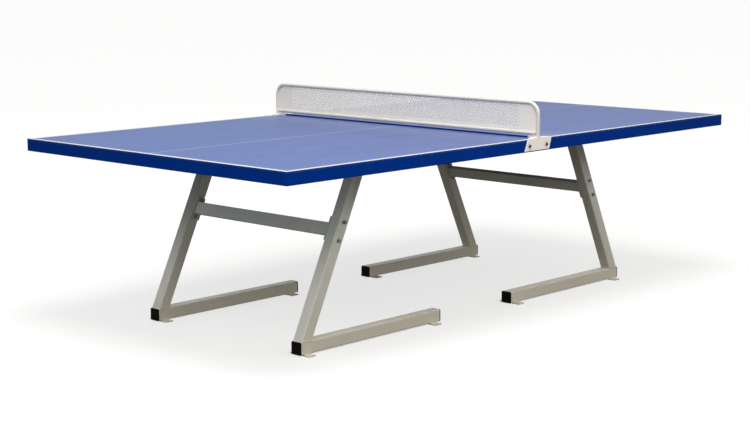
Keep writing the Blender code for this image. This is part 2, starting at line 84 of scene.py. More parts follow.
# ---------------------------------------------------------------- materials
class Nodes:
    """A small builder for procedural materials, in metres."""

    def __init__(self, name):
        self.mat = bpy.data.materials.new(name)
        self.mat.use_nodes = True
        self.tree = self.mat.node_tree
        self.tree.nodes.clear()
        self.out = self.new("ShaderNodeOutputMaterial")
        self.bsdf = self.new("ShaderNodeBsdfPrincipled")
        self.link(self.bsdf.outputs[0], self.out.inputs[0])
        coord = self.new("ShaderNodeTexCoord")
        self.pos = coord.outputs["Object"]

    def new(self, kind, **props):
        node = self.tree.nodes.new(kind)
        for key, value in props.items():
            setattr(node, key, value)
        return node

    def link(self, a, b):
        self.tree.links.new(a, b)

    def noise(self, scale, detail=2.0, rough=0.5, stretch=None):
        src = self.pos
        if stretch:
            m = self.new("ShaderNodeMapping")
            m.inputs["Scale"].default_value = stretch
            self.link(src, m.inputs["Vector"])
            src = m.outputs[0]
        n = self.new("ShaderNodeTexNoise")
        n.inputs["Scale"].default_value = scale
        n.inputs["Detail"].default_value = detail
        n.inputs["Roughness"].default_value = rough
        self.link(src, n.inputs["Vector"])
        return n.outputs["Fac"]

    def cells(self, scale, smooth=0.6):
        """Distance to the middle of small random cells."""
        n = self.new("ShaderNodeTexVoronoi", feature="SMOOTH_F1")
        n.inputs["Scale"].default_value = scale
        n.inputs["Smoothness"].default_value = smooth
        self.link(self.pos, n.inputs["Vector"])
        return n.outputs["Distance"]

    def ramp(self, fac, stops):
        r = self.new("ShaderNodeValToRGB")
        els = r.color_ramp.elements
        while len(els) < len(stops):
            els.new(0.5)
        for el, (at, col) in zip(els, stops):
            el.position = at
            el.color = (*col, 1.0)
        self.link(fac, r.inputs[0])
        return r.outputs[0]

    def span(self, fac, lo, hi, a=0.0, b=1.0):
        m = self.new("ShaderNodeMapRange")
        for key, v in (("From Min", lo), ("From Max", hi), ("To Min", a),
                       ("To Max", b)):
            m.inputs[key].default_value = v
        self.link(fac, m.inputs["Value"])
        return m.outputs[0]

    def math(self, op, a, b):
        m = self.new("ShaderNodeMath", operation=op)
        for k, v in enumerate((a, b)):
            if isinstance(v, (int, float)):
                m.inputs[k].default_value = v
            else:
                self.link(v, m.inputs[k])
        return m.outputs[0]

    def mix(self, fac, a, b):
        m = self.new("ShaderNodeMix", data_type="RGBA")
        for name, v in (("Factor", fac), ("A", a), ("B", b)):
            sock = [i for i in m.inputs if i.name == name and i.enabled][0]
            if isinstance(v, (int, float)):
                sock.default_value = v
            elif isinstance(v, tuple):
                sock.default_value = (*v, 1.0)
            else:
                self.link(v, sock)
        return [o for o in m.outputs if o.enabled][0]

    def axis(self, which, vector=None):
        s = self.new("ShaderNodeSeparateXYZ")
        self.link(vector or self.pos, s.inputs[0])
        return s.outputs[which]

    def bump(self, height, strength, distance, normal=None):
        b = self.new("ShaderNodeBump")
        b.inputs["Strength"].default_value = strength
        b.inputs["Distance"].default_value = distance
        self.link(height, b.inputs["Height"])
        if normal is not None:
            self.link(normal, b.inputs["Normal"])
        return b.outputs[0]

    def colour(self, socket):
        self.link(socket, self.bsdf.inputs["Base Color"])

    def rough(self, socket):
        self.link(socket, self.bsdf.inputs["Roughness"])

    def normal(self, socket):
        self.link(socket, self.bsdf.inputs["Normal"])


def srgb(r, g, b):
    """Screen colour 0-255 to the linear colour of a shader."""
    def lin(c):
        c /= 255.0
        return c / 12.92 if c <= 0.04045 else ((c + 0.055) / 1.055) ** 2.4
    return (lin(r), lin(g), lin(b))


def scaled(col, k):
    return tuple(min(1.0, c * k) for c in col)


def powder_coat(name, colour, rough=0.42, spread=0.06, peel=0.35,
                metallic=0.0, specular=0.5, tint=None, dust_and_warm_bounce=None,
                settled_dirt_and_top_light=None, painted_light_band=None, rust_at=()):
    """Powder coat: orange-peel skin, faint mottling, duller patches.
    Dust_and_warm_bounce is (height where it ends, tint): splashed earth near the
    ground, and painted warm light that the ground bounces onto the low parts.
    Settled_dirt_and_top_light is a pale tint on faces that look up, low down: dry
    dirt come to rest there, and a painted highlight for the light that reaches the
    foot tops.
    Painted_light_band is (from height, to height, colour): a painted highlight,
    paler paint across that band to offset the shade cast there.
    Rust_at are the (x, z) of bolts that have bled a little rust."""
    n = Nodes(name)
    cloud = n.noise(6.0, 3.0, 0.6)
    fine = n.noise(300.0, 2.0, 0.6)
    streak = n.noise(22.0, 3.0, 0.6, stretch=(1.0, 1.0, 0.12))
    mixed = n.math("ADD", n.math("MULTIPLY", cloud, 0.5),
                   n.math("ADD", n.math("MULTIPLY", fine, 0.2),
                          n.math("MULTIPLY", streak, 0.3)))
    col = n.ramp(mixed, [(0.38, scaled(colour, 1.0 - spread)),
                         (0.62, scaled(colour, 1.0 + spread))])
    # splashed earth, and painted light: a warm tint towards the ground for the
    # ground's warm bounce
    if dust_and_warm_bounce:
        top, low_tint = dust_and_warm_bounce
        low = n.span(n.axis("Z"), 0.0, top, 1.0, 0.0)
        spots = n.span(n.noise(35.0, 5.0, 0.7), 0.38, 0.62, 0.35, 1.0)
        col = n.mix(n.math("MULTIPLY", n.math("MULTIPLY", low, spots), 0.6),
                    col, low_tint)
    # painted highlight: low upward faces painted paler for the light the foot tops
    # get, also read as dry dirt resting there
    if settled_dirt_and_top_light:
        geo = n.new("ShaderNodeNewGeometry")
        up = n.span(n.axis("Z", geo.outputs["Normal"]), 0.70, 0.97)
        low = n.span(n.axis("Z"), 0.06, 0.14, 1.0, 0.0)
        thick = n.span(n.noise(28.0, 5.0, 0.65), 0.3, 0.7, 0.72, 0.98)
        col = n.mix(n.math("MULTIPLY", n.math("MULTIPLY", up, low), thick),
                    col, settled_dirt_and_top_light)
    # painted highlight: paler paint across a band of heights, offsetting cast
    # shade
    if painted_light_band:
        z_from, z_to, band_colour = painted_light_band
        col = n.mix(n.span(n.axis("Z"), z_from, z_to), col, band_colour)
    for x, z in rust_at:
        dx = n.math("SUBTRACT", n.axis("X"), x)
        dz = n.math("MULTIPLY", n.math("SUBTRACT", n.axis("Z"), z - 0.003),
                    0.75)
        away = n.math("SQRT", n.math("ADD", n.math("MULTIPLY", dx, dx),
                                     n.math("MULTIPLY", dz, dz)), 0.0)
        ring = n.span(away, 0.006, 0.016, 1.0, 0.0)
        spots = n.span(n.noise(75.0, 5.0, 0.7), 0.40, 0.62, 0.0, 0.75)
        col = n.mix(n.math("MULTIPLY", ring, spots), col, srgb(146, 108, 78))
    n.colour(col)
    patches = n.noise(14.0, 4.0, 0.65)
    n.rough(n.span(patches, 0.3, 0.7, rough - 0.05, rough + 0.06))
    n.bsdf.inputs["Metallic"].default_value = metallic
    n.bsdf.inputs["Specular IOR Level"].default_value = specular
    if tint:
        n.bsdf.inputs["Specular Tint"].default_value = (*tint, 1.0)
    skin = n.cells(420.0)
    n.normal(n.bump(skin, peel, 0.00012))
    return n.mat


def board_paint():
    """Resin board: satin blue top with a fine tooth and light scuffs, deep
    blue edge, dark raw laminate underneath."""
    n = Nodes("board_resin_blue")
    top = srgb(45, 72, 134)
    edge = srgb(0, 40, 118)
    cloud = n.noise(1.7, 4.0, 0.6)
    grain = n.noise(900.0, 2.0, 0.5)
    mixed = n.math("ADD", n.math("MULTIPLY", cloud, 0.75),
                   n.math("MULTIPLY", grain, 0.25))
    face = n.ramp(mixed, [(0.3, scaled(top, 0.95)), (0.7, scaled(top, 1.05))])
    # painted sheen: a paler, chalkier blue along the foot of the net stands in for
    # the net's reflection in the board, and reads as a chalky film gathered there
    near = n.span(n.math("ABSOLUTE", n.axis("X"), 0.0), 0.05, 0.28, 0.19, 0.0)
    sheen_patches = n.span(n.noise(3.5, 5.0, 0.65), 0.3, 0.7, 0.6, 1.25)
    face = n.mix(n.math("MULTIPLY", near, sheen_patches), face, srgb(160, 162, 170))
    geo = n.new("ShaderNodeNewGeometry")
    up = n.axis("Z", geo.outputs["True Normal"])
    col = n.mix(n.span(up, 0.55, 0.75), edge, face)
    fibre = n.ramp(n.noise(60.0, 5.0, 0.7, stretch=(1.0, 0.1, 1.0)),
                   [(0.35, srgb(84, 85, 88)), (0.65, srgb(108, 109, 112))])
    col = n.mix(n.span(up, -0.75, -0.55, 1.0, 0.0), col, fibre)
    n.colour(col)
    scuff = n.noise(5.0, 5.0, 0.6, stretch=(1.0, 1.6, 1.0))
    n.rough(n.span(scuff, 0.35, 0.7, 0.35, 0.385))
    n.normal(n.bump(n.cells(1100.0), 0.25, 0.00005))
    return n.mat


def plastic(name, colour, rough=0.5):
    """Moulded plastic with a fine spark-eroded grain."""
    n = Nodes(name)
    n.colour(n.ramp(n.noise(40.0, 3.0, 0.6),
                    [(0.3, scaled(colour, 0.75)), (0.7, scaled(colour, 1.4))]))
    n.rough(n.span(n.noise(90.0, 2.0), 0.3, 0.7, rough - 0.07, rough + 0.07))
    n.normal(n.bump(n.cells(1800.0), 0.4, 0.00008))
    n.bsdf.inputs["Specular IOR Level"].default_value = 0.15
    return n.mat


def plated(name, colour, rough=0.34, dull=0.12, stain=None):
    """Plated steel of fasteners: cloudy passivation, stained in places."""
    n = Nodes(name)
    cloud = n.noise(170.0, 4.0, 0.65)
    col = n.ramp(cloud, [(0.3, scaled(colour, 0.75)),
                         (0.7, scaled(colour, 1.15))])
    if stain:
        spots = n.span(n.noise(90.0, 5.0, 0.7), 0.47, 0.60)
        col = n.mix(spots, col, stain)
        n.link(n.span(spots, 0.0, 1.0, 1.0, 0.25), n.bsdf.inputs["Metallic"])
    else:
        n.bsdf.inputs["Metallic"].default_value = 1.0
    n.colour(col)
    n.rough(n.span(n.noise(300.0, 3.0), 0.3, 0.7, rough - dull, rough + dull))
    n.normal(n.bump(n.noise(1500.0, 2.0, 0.6), 0.25, 0.00006))
    return n.mat


BRACKET_BOLTS = []
for side_name, side in HALVES:
    lo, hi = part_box("bracket_bolt_near_" + side_name)
    BRACKET_BOLTS.append(((lo.x + hi.x) / 2, (lo.z + hi.z) / 2))

M_BOARD = board_paint()
M_APRON = powder_coat("apron_powder_blue", srgb(0, 43, 124), 0.42, 0.05,
                      specular=0.04, tint=(0.02, 0.16, 1.0))
# painted light: warm tint low down for ground bounce, also read as splashed earth
M_GREY = powder_coat("frame_powder_grey", srgb(192, 196, 194), 0.42, 0.05,
                     specular=0.35, dust_and_warm_bounce=(0.50, srgb(206, 193, 170)),
                     # painted highlight: paler tint on low upward faces for top
                     # light, also read as resting dirt
                     settled_dirt_and_top_light=srgb(232, 227, 214))
# painted highlight: the sheet is painted paler just under its top tube, offsetting
# that tube's shadow
M_WHITE = powder_coat("net_powder_white", srgb(213, 210, 205), 0.42, 0.02,
                      specular=0.3, painted_light_band=(0.866, 0.894, srgb(231, 228, 223)))
# painted shade: the tubes carry the sheet's white powder coat painted darker, so
# the overhead light falls less bright on them
M_TUBE_PAINTED_SHADE = powder_coat("net_tube_white_painted_shade", srgb(190, 188, 184), 0.50, 0.02,
                     specular=0.25)
M_BRACKET = powder_coat("bracket_powder_grey", srgb(222, 219, 220), 0.42,
                        0.03, rust_at=BRACKET_BOLTS)
M_BLACK = plastic("cap_plastic_black", srgb(7, 7, 8))
M_ZINC = plated("zinc_plate", (0.42, 0.42, 0.40), 0.38,
                stain=srgb(104, 74, 50))
M_DARK = plated("black_oxide", (0.07, 0.07, 0.072), 0.4)
M_LINE = powder_coat("line_paint_white", srgb(169, 177, 182), 0.5, 0.03)



def keep_flats(ob):
    """Weighted normals: flats stay flat beside their rounded edges."""
    mod = ob.modifiers.new("flats", "WEIGHTED_NORMAL")
    mod.mode = "FACE_AREA"
    mod.weight = 80
    mod.keep_sharp = True


BY_SLOT = {"board_blue": M_BOARD, "apron_blue": M_APRON,
           "frame_grey": M_GREY, "net_white": M_WHITE,
           "bracket_grey": M_BRACKET, "cap_black": M_BLACK,
           "bolt_zinc": M_ZINC, "bolt_dark": M_DARK}
SLOT_OF = {s["node"]: s["material_slot"] for s in frame["record"]["subparts"]}

for node, ob in NODES.items():
    ob.data.materials.clear()
    ob.data.materials.append(M_TUBE_PAINTED_SHADE if node == "net_lower_tube"
                             else BY_SLOT[SLOT_OF[node]])
    ob.data.shade_smooth()
    ob.data.set_sharp_from_angle(angle=math.radians(35))
    keep_flats(ob)


# ----------------------------------------------------------- building meshes
def add_mesh(name, bm, slot, stands_for=(), sharp=35.0, mat=None,
             flats=False):
    """Turns the mesh into a piece that rides on the frame."""
    mesh = bpy.data.meshes.new(name)
    bmesh.ops.recalc_face_normals(bm, faces=bm.faces)
    bm.to_mesh(mesh)
    bm.free()
    mesh.shade_smooth()
    mesh.set_sharp_from_angle(angle=math.radians(sharp))
    mesh.materials.append(mat or BY_SLOT[slot])
    ob = bpy.data.objects.new(name, mesh)
    SCENE.collection.objects.link(ob)
    if flats:
        keep_flats(ob)
    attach(ob, "root")
    if stands_for:
        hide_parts(*stands_for)
    return ob


def prism(bm, pts, z0, z1):
    """An upright prism over a flat outline."""
    low = [bm.verts.new((x, y, z0)) for x, y in pts]
    high = [bm.verts.new((x, y, z1)) for x, y in pts]
    n = len(pts)
    for i in range(n):
        bm.faces.new((low[i], low[(i + 1) % n], high[(i + 1) % n], high[i]))
    bm.faces.new(high)
    bm.faces.new(list(reversed(low)))


def loft(bm, rings, cap_first=True, cap_last=True):
    """Joins rings of equal count, each a list of points."""
    rows = [[bm.verts.new(p) for p in ring] for ring in rings]
    n = len(rows[0])
    for a, b in zip(rows, rows[1:]):
        for i in range(n):
            bm.faces.new((a[i], a[(i + 1) % n], b[(i + 1) % n], b[i]))
    if cap_first:
        bm.faces.new(list(reversed(rows[0])))
    if cap_last:
        bm.faces.new(rows[-1])
    return rows


def frame_on(origin, axis, side=None):
    """Matrix whose Z is the axis and whose X is close to side."""
    z = Vector(axis).normalized()
    x = Vector(side) if side is not None else (X if abs(z.x) < 0.9 else Y)
    y = z.cross(x).normalized()
    x = y.cross(z)
    m = Matrix((x, y, z)).transposed().to_4x4()
    m.translation = Vector(origin)
    return m


def turned_rings(profile, m, count=36, hexes=()):
    """Rings of a turned profile [(radius, height)].  Ring numbers in hexes
    are cut to a hexagon, their radius being the cone that trims it."""
    rings = []
    for k, (r, h) in enumerate(profile):
        ring = []
        for i in range(count):
            a = 2 * math.pi * i / count
            rr = r
            if k in hexes:
                b = (a + math.pi / 6) % (math.pi / 3) - math.pi / 6
                rr = min(r, hexes[k] / 2 / math.cos(b))
            ring.append(m @ Vector((rr * math.cos(a), rr * math.sin(a), h)))
        rings.append(ring)
    return rings


def hex_head(bm, m, flat, z0, z1, both=False):
    """Hexagon with its corners turned off on the outer side, or on both."""
    r = flat / 2
    levels = []
    steps = (0.0, 0.15, 0.35, 0.6, 1.0)
    drop = r * 0.155 * 0.6
    if both:
        levels += [(r * 0.94 + drop * k / 0.55, z0 + drop * k)
                   for k in steps[:-1]]
    else:
        levels += [(r * 1.2, z0)]
    levels += [(r * 1.2, z0 + drop * (1.0 if both else 0.2)),
               (r * 1.2, z1 - drop)]
    levels += [(r * 0.94 + drop * k / 0.55, z1 - drop * k)
               for k in reversed(steps[:-1])]
    levels += [(r * 0.80, z1), (r * 0.78, z1 - 0.00015)]
    hexes = {k: flat for k in range(len(levels))}
    loft(bm, turned_rings(levels, m, 48, hexes))


def washer(bm, m, outer, z0, z1):
    b = 0.0002
    loft(bm, turned_rings([(outer / 2 - b, z0), (outer / 2, z0 + b),
                           (outer / 2, z1 - b), (outer / 2 - b, z1)], m, 40))


def thread(bm, m, dia, z0, z1, pitch=0.00125):
    """Shank end with thread grooves and a chamfered tip at z1."""
    r, up = dia / 2, (1 if z1 > z0 else -1)
    prof, h = [(r, z0)], z0
    while abs(z1 - h) > pitch * 1.6:
        prof += [(r, h + up * pitch * 0.3), (r - 0.0005, h + up * pitch * 0.6),
                 (r, h + up * pitch)]
        h += up * pitch
    prof += [(r, z1 - up * 0.0008), (r - 0.0008, z1)]
    loft(bm, turned_rings(prof, m, 24))


def sweep(bm, pts, radii, sides=8, closed=False, squash=None):
    """A tube along points, with its own radius at each point."""
    n = len(pts)
    tangents = []
    for i in range(n):
        a = pts[(i - 1) % n] if closed or i else pts[0]
        b = pts[(i + 1) % n] if closed or i < n - 1 else pts[-1]
        tangents.append((b - a).normalized())
    up = Z if abs(tangents[0].z) < 0.9 else X
    nrm = (up - tangents[0] * up.dot(tangents[0])).normalized()
    rows = []
    for p, t, r in zip(pts, tangents, radii):
        nrm = (nrm - t * nrm.dot(t)).normalized()
        b = t.cross(nrm)
        rows.append([bm.verts.new(p + nrm * (r * math.cos(2 * math.pi * k / sides))
                                  + b * (r * math.sin(2 * math.pi * k / sides)))
                     for k in range(sides)])
    pairs = list(zip(rows, rows[1:]))
    if closed:
        # line the last ring up with the first
        first, last = rows[0], rows[-1]
        best = min(range(sides),
                   key=lambda s: (first[s].co - last[0].co).length)
        pairs.append((last, first[best:] + first[:best]))
    for a, b in pairs:
        for k in range(sides):
            bm.faces.new((a[k], a[(k + 1) % sides], b[(k + 1) % sides], b[k]))
    if not closed:
        bm.faces.new(list(reversed(rows[0])))
        bm.faces.new(rows[-1])


def resample(pts, step, closed):
    """Points at even steps along a path."""
    loop = list(pts) + ([pts[0]] if closed else [])
    dist = [0.0]
    for a, b in zip(loop, loop[1:]):
        dist.append(dist[-1] + (b - a).length)
    count = max(4, int(round(dist[-1] / step)))
    out, k = [], 0
    for i in range(count if closed else count + 1):
        s = dist[-1] * i / count
        while k < len(dist) - 2 and dist[k + 1] < s:
            k += 1
        t = (s - dist[k]) / max(1e-9, dist[k + 1] - dist[k])
        out.append(loop[k].lerp(loop[k + 1], t))
    return out


def bead(bm, pts, r, closed=False, seed=0.0):
    """A rippled weld bead along a path."""
    run = resample(pts, 0.0014, closed)
    radii = []
    for i in range(len(run)):
        wave = 0.10 * math.sin(i * 2.1 + seed) \
            + 0.06 * math.sin(i * 0.37 + 3.0 * seed)
        end = 1.0
        if not closed:
            end = min(1.0, 0.45 + 0.25 * min(i, len(run) - 1 - i))
        radii.append(r * (1.0 + wave) * end)
    sweep(bm, run, radii, 8, closed)


def rounded_rect(w, h, r, n=4):
    """Outline points of a rectangle with round corners, anticlockwise."""
    out = []
    for cx, cy, a0 in ((1, 1, 0), (-1, 1, 90), (-1, -1, 180), (1, -1, 270)):
        for i in range(n + 1):
            a = math.radians(a0 + 90 * i / n)
            out.append((cx * (w / 2 - r) + r * math.cos(a),
                        cy * (h / 2 - r) + r * math.sin(a)))
    return out


# -------------------------------------------------------------- painted lines
# 20 mm along the outer edges and 3 mm down the middle
for name, s in HALVES:
    x0, x1, y1, w = 0.0033, 1.3697, 0.7622, 0.020
    z0, z1 = 0.7599, 0.76008
    bm = bmesh.new()
    pts = [(x0, -y1), (x1, -y1), (x1, y1), (x0, y1), (x0, y1 - w),
           (x1 - w, y1 - w), (x1 - w, -y1 + w), (x0, -y1 + w)]
    prism(bm, [(s * x, y) for x, y in pts], z0, z1)
    add_mesh("edge_lines_" + name, bm, None, mat=M_LINE)
    bm = bmesh.new()
    prism(bm, [(s * x, y) for x, y in ((x0, -0.0015), (x1 - w, -0.0015),
                                       (x1 - w, 0.0015), (x0, 0.0015))],
          z0, z1)
    add_mesh("centre_line_" + name, bm, None, mat=M_LINE)


# ------------------------------------------------------------------- the net
def net_tube():
    """Bent tube round the net, with finer bends than the frame's own."""
    lo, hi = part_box("net_frame")
    r = 0.008
    y, top, corner = hi.y - r, hi.z - r, 0.047
    pts = [Vector((0, -y, lo.z + 0.0001)), Vector((0, -y, top - corner))]
    for i in range(1, 17):
        a = math.pi / 2 * i / 16
        pts.append(Vector((0, -y + corner - corner * math.cos(a),
                           top - corner + corner * math.sin(a))))
    pts += [Vector((0, -p.y, p.z)) for p in reversed(pts)]
    bm = bmesh.new()
    sweep(bm, pts, [r * 0.9995] * len(pts), 28)
    add_mesh("net_frame_tube", bm, "net_white", ["net_frame"], sharp=50,
             mat=M_TUBE_PAINTED_SHADE)


def perforated_sheet():
    """The sheet with its staggered rows of round holes."""
    lo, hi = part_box("net_panel")
    cw, ch, hole, rows, cols = 0.0150, 0.0075, 0.0026, 12, 89
    y_end, z_low = cw * cols / 2, 0.8020
    bm = bmesh.new()
    seen = {}

    def vert(y, z):
        key = (round(y * 1e5), round(z * 1e5))
        if key not in seen:
            seen[key] = bm.verts.new((lo.x, y, z))
        return seen[key]

    around = [(2, 0), (2, 1), (1, 1), (0, 1), (-1, 1), (-2, 1),
              (-2, 0), (-2, -1), (-1, -1), (0, -1), (1, -1), (2, -1)]
    for k in range(rows):
        zc = z_low + ch * (k + 0.5)
        shift = 0.5 if k % 2 else 0.0
        for j in range(cols - (k % 2)):
            yc = -y_end + cw * (j + 0.5 + shift)
            edge = [vert(yc + cw / 4 * a, zc + ch / 2 * b) for a, b in around]
            rim = [bm.verts.new((lo.x, yc + hole * math.cos(math.pi * i / 6),
                                 zc + hole * math.sin(math.pi * i / 6)))
                   for i in range(12)]
            for i in range(12):
                q = (i + 1) % 12
                bm.faces.new((edge[i], edge[q], rim[q], rim[i]))
        if k % 2:                               # plain half cells at the ends
            for s in (-1, 1):
                y0, y1 = s * (y_end - cw / 2), s * y_end
                ring = [(y0, -1), ((y0 + y1) / 2, -1), (y1, -1), (y1, 0),
                        (y1, 1), ((y0 + y1) / 2, 1), (y0, 1), (y0, 0)]
                bm.faces.new([vert(y, zc + ch / 2 * b) for y, b in ring])
    rim_edges = [e for e in bm.edges if len(e.link_faces) == 1
                 and all(abs(abs(v.co.y) - y_end) < 1e-6
                         or abs(v.co.z - z_low) < 1e-6
                         or abs(v.co.z - z_low - ch * rows) < 1e-6
                         for v in e.verts)]
    r = 0.0387
    pts = [(lo.y, lo.z), (hi.y, lo.z)]
    for s in (1, -1):
        for i in range(17):
            a = math.pi / 2 * (i if s > 0 else 16 - i) / 16
            pts.append((s * (hi.y - r + r * math.cos(a)),
                        hi.z - r + r * math.sin(a)))
    outer = [bm.verts.new((lo.x, y, z)) for y, z in pts]
    loop = [bm.edges.new((outer[i], outer[(i + 1) % len(outer)]))
            for i in range(len(outer))]
    bmesh.ops.triangle_fill(bm, use_beauty=True, edges=rim_edges + loop)
    front = list(bm.faces)
    bmesh.ops.recalc_face_normals(bm, faces=front)
    back = {v: bm.verts.new((hi.x, v.co.y, v.co.z)) for v in list(bm.verts)}
    rims = [e for e in bm.edges if len(e.link_faces) == 1]
    for f in front:
        bm.faces.new([back[v] for v in reversed(f.verts)])
    for e in rims:
        a, b = e.verts
        bm.faces.new((a, b, back[b], back[a]))
    add_mesh("net_sheet_perforated", bm, "net_white", ["net_panel"], sharp=30)


net_tube()
perforated_sheet()

bm = bmesh.new()
lo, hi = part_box("net_frame")
low_lo, low_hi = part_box("net_lower_tube")
sh_lo, sh_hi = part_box("net_panel")
y_in = hi.y - 0.016
for s in (-1, 1):
    # the lower tube to the side tubes, and the side tubes to the brackets
    ring = [Vector((0.0076 * math.cos(a), s * (y_in - 0.0004),
                    (low_lo.z + low_hi.z) / 2 + 0.0076 * math.sin(a)))
            for a in [2 * math.pi * i / 24 for i in range(24)]]
    bead(bm, ring, 0.0013, True, s)
    ring = [Vector((0.0082 * math.cos(a), s * (hi.y - 0.008)
                    + 0.0082 * math.sin(a), lo.z + 0.0006))
            for a in [2 * math.pi * i / 24 for i in range(24)]
            if abs(s * (hi.y - 0.008) + 0.0095 * math.sin(a)) < 0.7660]
    bead(bm, ring, 0.0014, False, 2.0 + s)
    # the sheet to the side tubes
    for z in (0.806, 0.834, 0.852):
        for x in (-1, 1):
            bead(bm, [Vector((x * 0.0013, s * (y_in + 0.0002), z - 0.006)),
                      Vector((x * 0.0013, s * (y_in + 0.0002), z + 0.006))],
                 0.0009, False, z * 50)
# tack welds of the sheet along the upper and lower tube
for i in range(-5, 6):
    for z in (sh_hi.z + 0.0001, sh_lo.z - 0.0001):
        for x in (-1, 1):
            y = i * 0.130 + (0.02 if x > 0 else 0.0)
            bead(bm, [Vector((x * 0.0014, y - 0.006, z)),
                      Vector((x * 0.0014, y + 0.006, z))], 0.0009, False, i)
add_mesh("net_welds", bm, "net_white", sharp=60, mat=M_TUBE_PAINTED_SHADE)


# ---------------------------------------------------------------- fasteners
def outward(node, axis):
    """Centre of a bolt's node, and +1 or -1 towards the table's outside."""
    lo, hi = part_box(node)
    mid = (lo + hi) / 2
    return lo, hi, mid, (1 if mid[axis] > 0 else -1)


for row_name, row in ROWS:
    for side_name, side in HALVES:
        where = "%s_%s" % (row_name, side_name)
        for level in ("lower", "upper"):
            node = "beam_bolt_%s_%s" % (level, where)
            lo, hi, mid, s = outward(node, 1)
            face = row * (0.422 + 0.025)            # leg's outer face
            bm = bmesh.new()
            turn = 0.3 if level == "lower" else 1.0
            spin = Matrix.Rotation(turn + side, 4, "Z")
            m = frame_on((mid.x, face, mid.z), (0, row, 0), X) @ spin
            washer(bm, m, 0.016, 0.0003, 0.0017)
            hex_head(bm, m, 0.0130, 0.0017, 0.0071)
            thread(bm, m, 0.008, -0.050, 0.0010)
            grip = 0.050 + 0.0003 + 0.005
            hex_head(bm, m @ Matrix.Translation((0, 0, -grip - 0.0003))
                     @ Matrix.Rotation(math.pi, 4, "X"), 0.0130, 0.0,
                     0.0052)
            loft(bm, turned_rings(
                [(0.0055, 0.0050), (0.0054, 0.0063), (0.0046, 0.0066),
                 (0.0041, 0.0062)],
                m @ Matrix.Translation((0, 0, -grip - 0.0003))
                @ Matrix.Rotation(math.pi, 4, "X"), 28))
            thread(bm, m @ Matrix.Rotation(math.pi, 4, "X"), 0.008,
                   0.049, grip + 0.0105)
            add_mesh("bolt_beam_%s_%s" % (level, where), bm, "bolt_zinc",
                     [node])

        node = "head_bolts_" + where
        lo, hi, mid, s = outward(node, 2)
        bm = bmesh.new()
        strip_z0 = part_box("leg_" + where)[1].z + 0.0003 + 0.003 + 0.0003
        strip = [(x, y) for x, y in rounded_rect(0.040, 0.150, 0.002, 3)]
        loft(bm, [[Vector((mid.x + x * k, mid.y + y * k, z)) for x, y in strip]
                  for k, z in ((0.99, strip_z0), (1.0, strip_z0 + 0.0003),
                               (1.0, strip_z0 + 0.0057),
                               (0.99, strip_z0 + 0.006))])
        under = lo.z + 0.0064
        for k in (-1, 1):
            m = frame_on((mid.x, mid.y + k * 0.055, under), (0, 0, -1), X) \
                @ Matrix.Rotation(0.4 * k + side, 4, "Z")
            washer(bm, m, 0.0200, 0.0, 0.0010)
            hex_head(bm, m, 0.0165, 0.0010, 0.0063)
            thread(bm, m @ Matrix.Rotation(math.pi, 4, "X"), 0.010, -0.0012,
                   hi.z - under - 0.0002, 0.0015)
        add_mesh("bolts_head_" + where, bm, "bolt_zinc", [node])

        node = "bracket_bolt_" + where
        lo, hi, mid, s = outward(node, 1)
        face = row * (0.7625 + 0.0003 + 0.004)
        m = frame_on((mid.x, face, mid.z), (0, row, 0), X)
        bm = bmesh.new()
        dome = [(0.0063, 0.0003), (0.0065, 0.0006), (0.0064, 0.0012),
                (0.0060, 0.0022), (0.0053, 0.0031), (0.0044, 0.0038),
                (0.0036, 0.0042), (0.00305, 0.0043), (0.0030, 0.0042),
                (0.0029, 0.0020), (0.0026, 0.0018)]
        loft(bm, turned_rings(dome, m, 48, {8: 0.0052, 9: 0.0050,
                                            10: 0.0046}))
        thread(bm, m @ Matrix.Rotation(math.pi, 4, "X"), 0.008, -0.0006,
               0.0162)
        hex_head(bm, m @ Matrix.Translation((0, 0, -0.0066))
                 @ Matrix.Rotation(math.pi, 4, "X"), 0.0130, 0.0, 0.0064)
        add_mesh("bolt_bracket_" + where, bm, "bolt_dark", [node])

lo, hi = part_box("joining_bolt")
zc = (lo.z + hi.z) / 2
bm = bmesh.new()
m = frame_on((-0.0033, 0, zc), (-1, 0, 0), Y)
hex_head(bm, m, 0.0130, 0.0, 0.0054)
m = frame_on((0.0033, 0, zc), (1, 0, 0), Y)
hex_head(bm, m, 0.0130, 0.0, 0.0063)
thread(bm, m, 0.008, -0.0060, hi.x - 0.0034)
add_mesh("bolt_joining", bm, "bolt_zinc", ["joining_bolt"])


